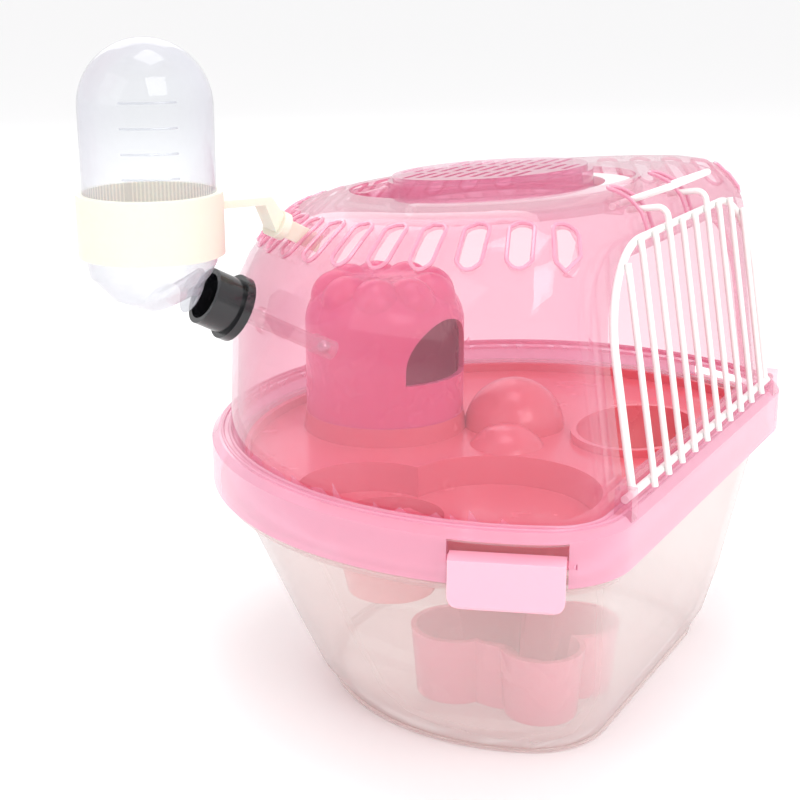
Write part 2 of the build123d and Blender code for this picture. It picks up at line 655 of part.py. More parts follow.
# ---------------------------------------------------------------- vent lid
with BuildPart() as vent_lid:
    SEAT = ROOF.offset(-RECESS_DEPTH)
    TOP_HEIGHT = RECESS_DEPTH + LID_RISE
    extrude(oval(SEAT, LID_SEMI_AXES, LID_FLANGE), amount=LID_FLANGE_THICKNESS)
    extrude(oval(SEAT, LID_SEMI_AXES), amount=TOP_HEIGHT - LID_STEP)
    extrude(oval(SEAT, LID_SEMI_AXES, -LID_STEP), amount=TOP_HEIGHT)
    extrude(oval(SEAT, LID_SEMI_AXES, -LID_WALL - LID_STEP), amount=TOP_HEIGHT - LID_WALL, mode=Mode.SUBTRACT)
    with BuildSketch(SEAT) as tab:
        with Locations((0, LID_SEMI_AXES[1])):
            Rectangle(2 * LID_HINGE_HALF, LID_HINGE_Y - LID_SEMI_AXES[1], align=(Align.CENTER, Align.MIN))
    extrude(tab.sketch, amount=LID_FLANGE_THICKNESS)
    barrel = across(-LID_HINGE_HALF, LID_PIVOT.Y, LID_PIVOT.Z)
    extrude(disc(barrel, LID_PIN_HEIGHT - 0.5), amount=2 * LID_HINGE_HALF)
    stub = across(-LID_HINGE_HALF - LID_PIN_LENGTH, LID_PIVOT.Y, LID_PIVOT.Z)
    extrude(disc(stub, LID_PIN_RADIUS), amount=2 * (LID_HINGE_HALF + LID_PIN_LENGTH))
    with BuildSketch(SEAT) as grille:
        rows = int(LID_SEMI_AXES[1] / GRILLE_PITCH_Y)
        for row in range(-rows, rows + 1):
            y = row * GRILLE_PITCH_Y
            for x in GRILLE_ROWS:
                edge = math.hypot((abs(x) + GRILLE_SLOT[0] / 2) / LID_SEMI_AXES[0], y / LID_SEMI_AXES[1])
                if edge < 0.92:
                    with Locations((x, y)):
                        SlotOverall(*GRILLE_SLOT)
    extrude(grille.sketch, amount=2 * TOP_HEIGHT, mode=Mode.SUBTRACT)
vent_lid.part.label = "vent_lid"


# ---------------------------------------------------------------- carry handle
with BuildPart() as carry_handle:
    LOW = ROOF.offset(HANDLE_LIFT - RECESS_DEPTH)
    with BuildSketch(LOW) as bail:
        Ellipse(*HANDLE_OUTER)
        Ellipse(*HANDLE_INNER, mode=Mode.SUBTRACT)
        with Locations((0, HANDLE_PIVOT_Y + HANDLE_THICKNESS / 2)):
            Rectangle(100, 100, align=(Align.CENTER, Align.MIN), mode=Mode.SUBTRACT)
    extrude(bail.sketch, amount=HANDLE_THICKNESS)
    for side in (-1, 1):
        pivot_pin = disc(across(side * HANDLE_PIN_START, HANDLE_PIVOT.Y, HANDLE_PIVOT.Z), HANDLE_PIN_RADIUS)
        extrude(pivot_pin, amount=side * HANDLE_PIN_LENGTH)
carry_handle.part.label = "carry_handle"


# ---------------------------------------------------------------- wire door
def door_point(x, height, out=0.0):
    """A point on the door: x across, height along its lean, out toward the outside."""
    return DOOR_PLANE.from_local_coords(Vector(x, height, out))


def rod(start, end, radius):
    """A straight wire between two points."""
    path = end - start
    with BuildPart(mode=Mode.PRIVATE) as wire:
        extrude(disc(Plane(origin=start, z_dir=path), radius), amount=path.length)
    return wire.part


BAR_OUT = FRAME_WIRE + BAR_WIRE
BAR_X = [BAR_PITCH * (index - (BAR_COUNT - 1) / 2) for index in range(BAR_COUNT)]


def arch_height(x):
    """Height of the arch wire's axis at x."""
    past = abs(x) - (DOOR_HALF - DOOR_CORNER)
    if past <= 0:
        return DOOR_HEIGHT
    return DOOR_HEIGHT - DOOR_CORNER + math.sqrt(DOOR_CORNER**2 - past**2)


with BuildPart() as door_arch_wire:
    with BuildLine(DOOR_PLANE) as arch:
        left_leg = Line((-DOOR_HALF, FRAME_WIRE), (-DOOR_HALF, DOOR_HEIGHT - DOOR_CORNER))
        left_bend = TangentArc(left_leg @ 1, (-DOOR_HALF + DOOR_CORNER, DOOR_HEIGHT), tangent=left_leg % 1)
        crown = Line(left_bend @ 1, (DOOR_HALF - DOOR_CORNER, DOOR_HEIGHT))
        right_bend = TangentArc(crown @ 1, (DOOR_HALF, DOOR_HEIGHT - DOOR_CORNER), tangent=crown % 1)
        Line(right_bend @ 1, (DOOR_HALF, FRAME_WIRE))
    with BuildSketch(Plane(origin=door_point(-DOOR_HALF, FRAME_WIRE), z_dir=DOOR_PLANE.y_dir)):
        Circle(FRAME_WIRE)
    sweep(path=arch.wires()[0])
door_arch_wire.part.label = "door_arch_wire"

with BuildPart() as door_hinge_wire:
    left_end = Vector(-HINGE_WIRE_HALF, HINGE_Y, HINGE_Z)
    right_end = Vector(HINGE_WIRE_HALF, HINGE_Y, HINGE_Z)
    add(rod(left_end, right_end, FRAME_WIRE))
door_hinge_wire.part.label = "door_hinge_wire"

with BuildPart() as door_bars:
    for x in BAR_X:
        if x not in HOOK_X:
            low_end = door_point(x, -BAR_NUB, BAR_OUT)
            add(rod(low_end, door_point(x, arch_height(x) + BAR_WIRE, BAR_OUT), BAR_WIRE))
door_bars.part.label = "door_bars"

with BuildPart() as door_hook_bars:
    for x in HOOK_X:
        top = DOOR_HEIGHT + HOOK_RISE
        hook_plane = Plane(origin=door_point(x, 0, BAR_OUT), x_dir=DOOR_PLANE.y_dir, z_dir=-DOOR_PLANE.x_dir)
        with BuildLine(hook_plane) as hook:
            upright = Line((-BAR_NUB, 0), (top - HOOK_BEND, 0))
            bend = TangentArc(upright @ 1, (top, HOOK_BEND), tangent=upright % 1)
            Line(bend @ 1, (top, HOOK_BEND + HOOK_REACH))
        with BuildSketch(Plane(origin=door_point(x, -BAR_NUB, BAR_OUT), z_dir=DOOR_PLANE.y_dir)):
            Circle(BAR_WIRE)
        sweep(path=hook.wires()[0])
door_hook_bars.part.label = "door_hook_bars"

with BuildPart() as door_latch_wire:
    side = HOOK_X[1]
    slope = Plane(
        origin=(0, *LATCH_PIVOT),
        x_dir=(1, 0, 0),
        z_dir=Vector(0, LATCH_BRIDGE[1] - LATCH_PIVOT[1], LATCH_PIVOT[0] - LATCH_BRIDGE[0]),
    )
    length = math.dist(LATCH_PIVOT, LATCH_BRIDGE)
    end = side + LATCH_STUB
    with BuildLine(slope) as staple:
        stub_left = Line((-end, 0), (-side - LATCH_BEND, 0))
        bend_a = TangentArc(stub_left @ 1, (-side, -LATCH_BEND), tangent=stub_left % 1)
        leg_left = Line(bend_a @ 1, (-side, LATCH_BEND - length))
        bend_b = TangentArc(leg_left @ 1, (-side + LATCH_BEND, -length), tangent=leg_left % 1)
        bridge = Line(bend_b @ 1, (side - LATCH_BEND, -length))
        bend_c = TangentArc(bridge @ 1, (side, LATCH_BEND - length), tangent=bridge % 1)
        leg_right = Line(bend_c @ 1, (side, -LATCH_BEND))
        bend_d = TangentArc(leg_right @ 1, (side + LATCH_BEND, 0), tangent=leg_right % 1)
        Line(bend_d @ 1, (end, 0))
    with BuildSketch(Plane(origin=slope.from_local_coords(Vector(-end, 0, 0)), z_dir=(1, 0, 0))):
        Circle(LATCH_WIRE)
    sweep(path=staple.wires()[0])
door_latch_wire.part.label = "door_latch_wire"


# ---------------------------------------------------------------- water bottle
def bottle_section(outer, inner, wall):
    """A round section between two points of the bottle's profile, drawn 'wall' inside them."""
    middle = ((outer[0] + inner[0]) / 2 + BOTTLE_AXIS, (outer[1] + inner[1]) / 2)
    turn = math.atan2(inner[1] - outer[1], outer[0] - inner[0])
    plane = Plane(
        origin=BOTTLE_PLANE.from_local_coords(Vector(*middle, 0)),
        x_dir=BOTTLE_PLANE.z_dir,
        z_dir=-BOTTLE_PLANE.x_dir * math.sin(turn) - BOTTLE_PLANE.y_dir * math.cos(turn),
    )
    return disc(plane, math.dist(outer, inner) / 2 - wall).face()


def bottle_solid(wall):
    """An upright bottle with a round top whose lower end bends into a neck along the spout."""
    radius = BOTTLE_RADIUS - wall
    shoulder = BOTTLE_TOP_Z - BOTTLE_RADIUS
    with BuildPart(mode=Mode.PRIVATE) as body:
        with BuildSketch(BOTTLE_PLANE):
            with BuildLine():
                Line((BOTTLE_AXIS, BOTTLE_ELBOW_Z), (BOTTLE_AXIS, shoulder + radius))
                CenterArc((BOTTLE_AXIS, shoulder), radius, 0, 90)
                Line((BOTTLE_AXIS + radius, shoulder), (BOTTLE_AXIS + radius, BOTTLE_ELBOW_Z))
                Line((BOTTLE_AXIS + radius, BOTTLE_ELBOW_Z), (BOTTLE_AXIS, BOTTLE_ELBOW_Z))
            make_face()
        revolve(axis=Axis(BOTTLE_PLANE.from_local_coords(Vector(BOTTLE_AXIS, 0, 0)), (0, 0, 1)))
        first = ((BOTTLE_RADIUS, BOTTLE_ELBOW_Z), (-BOTTLE_RADIUS, BOTTLE_ELBOW_Z))
        sections = [bottle_section(*edges, wall) for edges in (first, *ELBOW)]
        neck = disc(spout_plane(NECK_START), NECK_RADIUS - wall)
        loft([*sections, neck.face()], ruled=True)
        extrude(neck, amount=NECK_END - NECK_START)
    return body.part


def around_spout(start, end, radius, hole=0.0):
    """A collar along the spout axis between two distances."""
    with BuildPart(mode=Mode.PRIVATE) as collar:
        extrude(disc(spout_plane(start), radius), amount=end - start)
        if hole:
            extrude(disc(spout_plane(start), hole), amount=end - start, mode=Mode.SUBTRACT)
    return collar.part


with BuildPart() as bottle_body:
    add(bottle_solid(0))
    add(bottle_solid(BOTTLE_WALL), mode=Mode.SUBTRACT)
bottle_body.part.label = "bottle_body"

with BuildPart() as bottle_seal:
    add(around_spout(NECK_END, NECK_END + SEAL_THICKNESS, NECK_RADIUS, SPOUT_RADIUS))
bottle_seal.part.label = "bottle_seal"

with BuildPart() as bottle_cap:
    add(around_spout(CAP_START, CAP_END, CAP_RADIUS))
    add(around_spout(CAP_END - CAP_FLANGE, CAP_END, CAP_FLANGE_RADIUS))
    add(around_spout(CAP_START, NECK_END + SEAL_THICKNESS, NECK_RADIUS + 0.1), mode=Mode.SUBTRACT)
    add(around_spout(CAP_START, CAP_END, SPOUT_RADIUS), mode=Mode.SUBTRACT)
bottle_cap.part.label = "bottle_cap"

with BuildPart() as spout_tube:
    add(around_spout(NECK_END, SPOUT_END, SPOUT_RADIUS))
    add(around_spout(SPOUT_END - SPOUT_TIP_LENGTH, SPOUT_END, SPOUT_TIP_RADIUS))
    chamber = SPOUT_END - SPOUT_TIP_LENGTH + 1
    add(around_spout(NECK_END, chamber, SPOUT_BORE), mode=Mode.SUBTRACT)
    add(around_spout(chamber, SPOUT_END - SPOUT_LIP, BALL_RADIUS + 0.1), mode=Mode.SUBTRACT)
    add(around_spout(SPOUT_END - 1, SPOUT_END, BALL_RADIUS - 0.3), mode=Mode.SUBTRACT)
spout_tube.part.label = "spout_tube"

with BuildPart() as spout_ball:
    centre = spout_plane(SPOUT_END - SPOUT_LIP - BALL_RADIUS - 0.3).origin
    with Locations(centre):
        Sphere(BALL_RADIUS)
spout_ball.part.label = "spout_ball"

PLUG_PLANE = Plane(
    origin=vent_plane(BOTTLE_ANGLE).origin,
    x_dir=BOTTLE_PLANE.z_dir,
    z_dir=-SPOUT_AXIS.direction,
)
with BuildPart() as bottle_band:
    base = Plane(
        origin=BOTTLE_PLANE.from_local_coords(Vector(BOTTLE_AXIS, BAND_CENTRE_Z - BAND_HEIGHT / 2, 0)),
        x_dir=BOTTLE_PLANE.x_dir,
        z_dir=(0, 0, 1),
    )
    with BuildSketch(base):
        Circle(BOTTLE_RADIUS + BAND_WALL)
    extrude(amount=BAND_HEIGHT)
    with BuildSketch(base):
        Circle(BOTTLE_RADIUS)
    extrude(amount=BAND_HEIGHT, mode=Mode.SUBTRACT)
    # strap from the band to the plug that hangs in a vent slot
    slot = BOTTLE_PLANE.to_local_coords(PLUG_PLANE.origin)
    plug_top = (slot.X + PLUG_OUT * math.cos(SPOUT_TURN), slot.Y + PLUG_OUT * math.sin(SPOUT_TURN))
    with BuildSketch(BOTTLE_PLANE):
        with BuildLine():
            Polyline(
                (BOTTLE_AXIS - BOTTLE_RADIUS - BAND_WALL / 2, ARM_Z),
                (plug_top[0] + ARM_THICKNESS, ARM_Z),
                (plug_top[0] - ARM_THICKNESS, plug_top[1] + ARM_THICKNESS / 2),
                (plug_top[0] + ARM_THICKNESS / 2, plug_top[1] - ARM_THICKNESS),
                (plug_top[0] + 2 * ARM_THICKNESS, ARM_Z - ARM_THICKNESS),
                (BOTTLE_AXIS - BOTTLE_RADIUS - BAND_WALL / 2, ARM_Z - ARM_THICKNESS),
                close=True,
            )
        make_face()
    extrude(amount=ARM_WIDTH / 2, both=True)
    with BuildSketch(PLUG_PLANE.offset(-PLUG_IN)):
        Rectangle(PLUG_WIDTH, PLUG_DEPTH)
    extrude(amount=PLUG_IN + PLUG_OUT)
    with BuildSketch(PLUG_PLANE.offset(PLUG_OUT - PLUG_CAP[2])):
        SlotOverall(PLUG_CAP[0], PLUG_CAP[1])
    extrude(amount=PLUG_CAP[2])
bottle_band.part.label = "bottle_band"

PIECES = (
    base_tub,
    upper_deck,
    play_house,
    floor_bowl,
    dome_cover,
    left_latch,
    right_latch,
    vent_lid,
    carry_handle,
    door_arch_wire,
    door_hinge_wire,
    door_bars,
    door_hook_bars,
    door_latch_wire,
    bottle_body,
    bottle_seal,
    bottle_cap,
    spout_tube,
    spout_ball,
    bottle_band,
)
os.makedirs("parts", exist_ok=True)
for piece in PIECES:
    export_step(piece.part, "parts/" + piece.part.label + ".step")
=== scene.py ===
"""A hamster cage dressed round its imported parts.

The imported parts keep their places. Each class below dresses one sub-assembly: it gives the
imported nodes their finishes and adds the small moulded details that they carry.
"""

from __future__ import annotations

import json
import logging
import math
from dataclasses import dataclass
from enum import Enum
from typing import Iterable, Optional, Sequence

import bpy
from mathutils import Matrix, Vector

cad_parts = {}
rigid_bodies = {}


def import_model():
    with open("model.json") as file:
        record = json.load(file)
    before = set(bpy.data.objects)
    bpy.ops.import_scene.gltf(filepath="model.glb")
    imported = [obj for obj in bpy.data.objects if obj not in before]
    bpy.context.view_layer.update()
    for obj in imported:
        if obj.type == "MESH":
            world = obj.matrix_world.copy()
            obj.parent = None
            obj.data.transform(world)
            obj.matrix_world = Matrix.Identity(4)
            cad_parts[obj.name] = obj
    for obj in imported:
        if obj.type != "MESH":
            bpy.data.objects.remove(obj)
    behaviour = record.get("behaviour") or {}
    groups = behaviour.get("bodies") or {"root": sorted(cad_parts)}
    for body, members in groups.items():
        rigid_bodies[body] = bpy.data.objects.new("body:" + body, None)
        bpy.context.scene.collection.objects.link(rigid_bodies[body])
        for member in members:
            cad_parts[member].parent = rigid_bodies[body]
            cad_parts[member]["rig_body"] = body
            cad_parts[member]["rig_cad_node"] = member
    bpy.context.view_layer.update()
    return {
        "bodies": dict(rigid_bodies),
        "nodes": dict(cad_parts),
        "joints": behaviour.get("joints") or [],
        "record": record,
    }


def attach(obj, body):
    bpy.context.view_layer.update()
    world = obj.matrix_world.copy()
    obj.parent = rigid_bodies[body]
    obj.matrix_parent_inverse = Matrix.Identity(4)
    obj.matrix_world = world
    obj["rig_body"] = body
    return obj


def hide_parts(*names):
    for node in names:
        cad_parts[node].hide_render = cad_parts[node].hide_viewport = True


LOG = logging.getLogger("hamster_cage")
MM = 0.001
Colour = tuple[float, float, float]


# ---------------------------------------------------------------- shared helpers
def clear_selection() -> None:
    """Deselects everything, so that an operator acts on its own piece alone."""
    bpy.ops.object.select_all(action="DESELECT")


def activate(piece: bpy.types.Object) -> None:
    """Makes one piece the only selected and active one.

    Args:
        piece: The object that the next operators act on.
    """
    clear_selection()
    piece.hide_viewport = False
    piece.select_set(True)
    bpy.context.view_layer.objects.active = piece


def settle(piece: bpy.types.Object) -> bpy.types.Object:
    """Moves a piece's place into its mesh, so that its object sits at the origin.

    Args:
        piece: A mesh object anywhere in the scene.

    Returns:
        The same object, unturned and unscaled at the origin.
    """
    bpy.context.view_layer.update()
    piece.data.transform(piece.matrix_world)
    piece.matrix_world = Matrix.Identity(4)
    return piece


def merged(pieces: Sequence[bpy.types.Object], name: str) -> bpy.types.Object:
    """Joins pieces into one mesh.

    Args:
        pieces: The objects to join.
        name: The joined piece's name.

    Returns:
        The joined object, settled at the origin.
    """
    for piece in pieces:
        settle(piece)
    activate(pieces[0])
    for piece in pieces:
        piece.select_set(True)
    bpy.ops.object.join()
    joined = bpy.context.view_layer.objects.active
    joined.name = name
    joined.data.name = name
    return joined


def smooth(piece: bpy.types.Object, angle: float = 35.0) -> None:
    """Shades a piece smooth, apart from edges sharper than an angle in degrees."""
    activate(piece)
    bpy.ops.object.shade_smooth_by_angle(angle=math.radians(angle))


def tidy_shell(piece: bpy.types.Object) -> None:
    """Merges a piece's doubled points and turns all its faces outward."""
    activate(piece)
    bpy.ops.object.mode_set(mode="EDIT")
    bpy.ops.mesh.select_all(action="SELECT")
    bpy.ops.mesh.remove_doubles(threshold=1e-6)
    bpy.ops.mesh.normals_make_consistent(inside=False)
    bpy.ops.object.mode_set(mode="OBJECT")


def polished_copy(
    frame: dict, node: str, name: str, angle: float = 28.0
) -> bpy.types.Object:
    """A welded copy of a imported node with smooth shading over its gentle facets.

    Args:
        node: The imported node's name.
        name: The copy's name.
        angle: Edges sharper than this many degrees stay crisp.

    Returns:
        The copy, which stands for the node.
    """
    source = frame["nodes"][node]
    mesh = source.data.copy()
    piece = bpy.data.objects.new(name, mesh)
    bpy.context.scene.collection.objects.link(piece)
    mesh.materials.clear()
    mesh.name = name
    activate(piece)
    if mesh.has_custom_normals:
        bpy.ops.mesh.customdata_custom_splitnormals_clear()
    bpy.ops.object.mode_set(mode="EDIT")
    bpy.ops.mesh.select_all(action="SELECT")
    bpy.ops.mesh.remove_doubles(threshold=2e-6)
    bpy.ops.object.mode_set(mode="OBJECT")
    smooth(piece, angle)
    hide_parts(node)
    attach(piece, source["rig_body"])
    return piece


def tube(
    name: str,
    points: Iterable[Vector],
    radius: float,
    closed: bool = False,
    sides: int = 3,
) -> bpy.types.Object:
    """A round bead along a line of points, as a mesh.

    Args:
        name: The piece's name.
        points: The line that the bead's middle follows.
        radius: The bead's radius.
        closed: True if the line returns to its start.
        sides: Detail of the bead's section.

    Returns:
        The bead, settled at the origin.
    """
    line = list(points)
    curve = bpy.data.curves.new(name, "CURVE")
    curve.dimensions = "3D"
    spline = curve.splines.new("POLY")
    spline.points.add(len(line) - 1)
    for slot, point in zip(spline.points, line):
        slot.co = (*point, 1.0)
    spline.use_cyclic_u = closed
    curve.bevel_depth = radius
    curve.bevel_resolution = sides
    curve.use_fill_caps = not closed
    piece = bpy.data.objects.new(name, curve)
    bpy.context.scene.collection.objects.link(piece)
    activate(piece)
    bpy.ops.object.convert(target="MESH")
    piece = bpy.context.view_layer.objects.active
    tidy_shell(piece)
    smooth(piece, 50)
    return piece


# ---------------------------------------------------------------- finishes
def new_socket(
    group: bpy.types.NodeTree, name: str, side: str, kind: str, value: object = None
) -> None:
    """Adds a socket to a node group.

    Args:
        group: The node group.
        name: The socket's name.
        side: INPUT or OUTPUT.
        kind: The socket's type.
        value: Its starting value, if it has one.
    """
    made = group.interface.new_socket(name=name, in_out=side, socket_type=kind)
    if value is not None:
        made.default_value = value


def moulded_surface() -> bpy.types.NodeTree:
    """The shared effect of moulded plastic: faint flow shades, scuffs and a rippled skin.

    Returns:
        A group with inputs Colour, Flow colour, Flow, Roughness, Scuff and Grain, and outputs
        Colour, Roughness and Height.
    """
    name = "moulded surface"
    if name in bpy.data.node_groups:
        return bpy.data.node_groups[name]
    group = bpy.data.node_groups.new(name, "ShaderNodeTree")
    new_socket(group, "Colour", "INPUT", "NodeSocketColor", (1, 1, 1, 1))
    new_socket(group, "Flow colour", "INPUT", "NodeSocketColor", (1, 1, 1, 1))
    new_socket(group, "Flow", "INPUT", "NodeSocketFloat", 0.5)
    new_socket(group, "Roughness", "INPUT", "NodeSocketFloat", 0.2)
    new_socket(group, "Scuff", "INPUT", "NodeSocketFloat", 0.1)
    new_socket(group, "Grain", "INPUT", "NodeSocketFloat", 900.0)
    new_socket(group, "Colour", "OUTPUT", "NodeSocketColor")
    new_socket(group, "Roughness", "OUTPUT", "NodeSocketFloat")
    new_socket(group, "Height", "OUTPUT", "NodeSocketFloat")
    nodes, links = group.nodes, group.links
    source = nodes.new("NodeGroupInput")
    sink = nodes.new("NodeGroupOutput")
    place = nodes.new("ShaderNodeTexCoord")
    flow = nodes.new("ShaderNodeTexNoise")
    flow.inputs["Scale"].default_value = 22.0
    flow.inputs["Detail"].default_value = 3.0
    flow.inputs["Distortion"].default_value = 0.8
    links.new(place.outputs["Object"], flow.inputs["Vector"])
    share = nodes.new("ShaderNodeMath")
    share.operation = "MULTIPLY"
    links.new(flow.outputs["Fac"], share.inputs[0])
    links.new(source.outputs["Flow"], share.inputs[1])
    blend = nodes.new("ShaderNodeMix")
    blend.data_type = "RGBA"
    links.new(share.outputs[0], blend.inputs["Factor"])
    links.new(source.outputs["Colour"], blend.inputs["A"])
    links.new(source.outputs["Flow colour"], blend.inputs["B"])
    links.new(blend.outputs["Result"], sink.inputs["Colour"])
    scuff = nodes.new("ShaderNodeTexNoise")
    scuff.inputs["Scale"].default_value = 75.0
    scuff.inputs["Detail"].default_value = 6.0
    links.new(place.outputs["Object"], scuff.inputs["Vector"])
    spread = nodes.new("ShaderNodeMapRange")
    spread.inputs["From Min"].default_value = 0.45
    spread.inputs["From Max"].default_value = 0.75
    links.new(scuff.outputs["Fac"], spread.inputs["Value"])
    worn = nodes.new("ShaderNodeMath")
    worn.operation = "MULTIPLY_ADD"
    links.new(spread.outputs["Result"], worn.inputs[0])
    links.new(source.outputs["Scuff"], worn.inputs[1])
    links.new(source.outputs["Roughness"], worn.inputs[2])
    links.new(worn.outputs[0], sink.inputs["Roughness"])
    ripple = nodes.new("ShaderNodeTexNoise")
    ripple.inputs["Detail"].default_value = 2.0
    links.new(place.outputs["Object"], ripple.inputs["Vector"])
    links.new(source.outputs["Grain"], ripple.inputs["Scale"])
    wave = nodes.new("ShaderNodeTexNoise")
    wave.inputs["Scale"].default_value = 34.0
    wave.inputs["Detail"].default_value = 1.0
    links.new(place.outputs["Object"], wave.inputs["Vector"])
    weight = nodes.new("ShaderNodeMath")
    weight.operation = "MULTIPLY_ADD"
    weight.inputs[1].default_value = 6.0
    links.new(wave.outputs["Fac"], weight.inputs[0])
    links.new(ripple.outputs["Fac"], weight.inputs[2])
    links.new(weight.outputs[0], sink.inputs["Height"])
    return group


@dataclass(frozen=True)
class Finish:
    """What every finish has: its names and the look of its skin.

    Attributes:
        name: The material's name.
        slot: The record's material slot; not used.
        colour: The body colour.
        flow_colour: The shade that the moulding drifts toward.
        flow: How far it drifts.
        roughness: Roughness where it is clean.
        scuff: Roughness added where it is handled.
        grain: Scale of the skin's fine ripple.
        relief: How strongly the ripple shows.
    """

    name: str
    slot: str
    colour: Colour
    flow_colour: Colour
    flow: float = 0.5
    roughness: float = 0.15
    scuff: float = 0.08
    grain: float = 900.0
    relief: float = 0.04

    def _start(self) -> tuple[bpy.types.Material, bpy.types.Node, bpy.types.Node]:
        """Makes the material with its body shader.

        Returns:
            The material, its body shader and its output node.
        """
        material = bpy.data.materials.new(self.name)
        material.use_nodes = True
        tree = material.node_tree
        tree.nodes.clear()
        out = tree.nodes.new("ShaderNodeOutputMaterial")
        body = tree.nodes.new("ShaderNodeBsdfPrincipled")
        skin = tree.nodes.new("ShaderNodeGroup")
        skin.node_tree = moulded_surface()
        skin.inputs["Colour"].default_value = (*self.colour, 1.0)
        skin.inputs["Flow colour"].default_value = (*self.flow_colour, 1.0)
        skin.inputs["Flow"].default_value = self.flow
        skin.inputs["Roughness"].default_value = self.roughness
        skin.inputs["Scuff"].default_value = self.scuff
        skin.inputs["Grain"].default_value = self.grain
        bump = tree.nodes.new("ShaderNodeBump")
        bump.inputs["Strength"].default_value = self.relief
        bump.inputs["Distance"].default_value = 0.0005
        tree.links.new(skin.outputs["Colour"], body.inputs["Base Color"])
        tree.links.new(skin.outputs["Roughness"], body.inputs["Roughness"])
        tree.links.new(skin.outputs["Height"], bump.inputs["Height"])
        tree.links.new(bump.outputs["Normal"], body.inputs["Normal"])
        body.inputs["IOR"].default_value = 1.49
        return material, body, out


@dataclass(frozen=True)
class SolidPlastic(Finish):
    """An opaque or milky moulding.

    Attributes:
        depth: How much light it scatters inside.
        depth_radius: How far that light travels, in metres.
        coat: The gloss layer's weight.
    """

    depth: float = 0.0
    depth_radius: float = 0.003
    coat: float = 0.0

    def material(self) -> bpy.types.Material:
        """The finish as a material."""
        material, body, out = self._start()
        body.inputs["Subsurface Weight"].default_value = self.depth
        body.inputs["Subsurface Scale"].default_value = self.depth_radius
        body.inputs["Subsurface Radius"].default_value = (1.0, 0.5, 0.4)
        body.inputs["Coat Weight"].default_value = self.coat
        body.inputs["Coat Roughness"].default_value = 0.04
        material.node_tree.links.new(body.outputs["BSDF"], out.inputs["Surface"])
        return material


@dataclass(frozen=True)
class TintedPlastic(Finish):
    """A see-through moulding that tints what lies behind it.

    Attributes:
        tint: What one face lets through.
        haze: The share of the body colour that covers what is behind, looking straight on.
        rim: The share added where the wall is seen edge on.
        rim_power: How tightly that share keeps to the edges.
        gloss: Roughness of the mirror layer.
    """

    tint: Colour = (1.0, 0.8, 0.87)
    haze: float = 0.12
    rim: float = 0.5
    rim_blend: float = 0.25
    gloss: float = 0.04

    def material(self) -> bpy.types.Material:
        """The finish as a material."""
        material, body, out = self._start()
        nodes, links = material.node_tree.nodes, material.node_tree.links
        clear = nodes.new("ShaderNodeBsdfTransparent")
        clear.inputs["Color"].default_value = (*self.tint, 1.0)
        edge = nodes.new("ShaderNodeLayerWeight")
        edge.inputs["Blend"].default_value = self.rim_blend
        cover = nodes.new("ShaderNodeMath")
        cover.operation = "MULTIPLY_ADD"
        cover.use_clamp = True
        cover.inputs[1].default_value = self.rim
        cover.inputs[2].default_value = self.haze
        links.new(edge.outputs["Facing"], cover.inputs[0])
        hazy = nodes.new("ShaderNodeMixShader")
        links.new(cover.outputs[0], hazy.inputs["Fac"])
        links.new(clear.outputs["BSDF"], hazy.inputs[1])
        links.new(body.outputs["BSDF"], hazy.inputs[2])
        mirror = nodes.new("ShaderNodeBsdfGlossy")
        mirror.inputs["Roughness"].default_value = self.gloss
        steep = nodes.new("ShaderNodeMath")
        steep.operation = "POWER"
        steep.inputs[1].default_value = 4.0
        slant = nodes.new("ShaderNodeLayerWeight")
        slant.inputs["Blend"].default_value = 0.5
        links.new(slant.outputs["Facing"], steep.inputs[0])
        shine = nodes.new("ShaderNodeMath")
        shine.operation = "MULTIPLY_ADD"
        shine.inputs[1].default_value = 0.55
        shine.inputs[2].default_value = 0.035
        links.new(steep.outputs[0], shine.inputs[0])
        shell = nodes.new("ShaderNodeMixShader")
        links.new(shine.outputs[0], shell.inputs["Fac"])
        links.new(hazy.outputs["Shader"], shell.inputs[1])
        links.new(mirror.outputs["BSDF"], shell.inputs[2])
        links.new(shell.outputs["Shader"], out.inputs["Surface"])
        return material


@dataclass(frozen=True)
class Metal(Finish):
    """A polished metal."""

    def material(self) -> bpy.types.Material:
        """The finish as a material."""
        material, body, out = self._start()
        body.inputs["Metallic"].default_value = 1.0
        material.node_tree.links.new(body.outputs["BSDF"], out.inputs["Surface"])
        return material


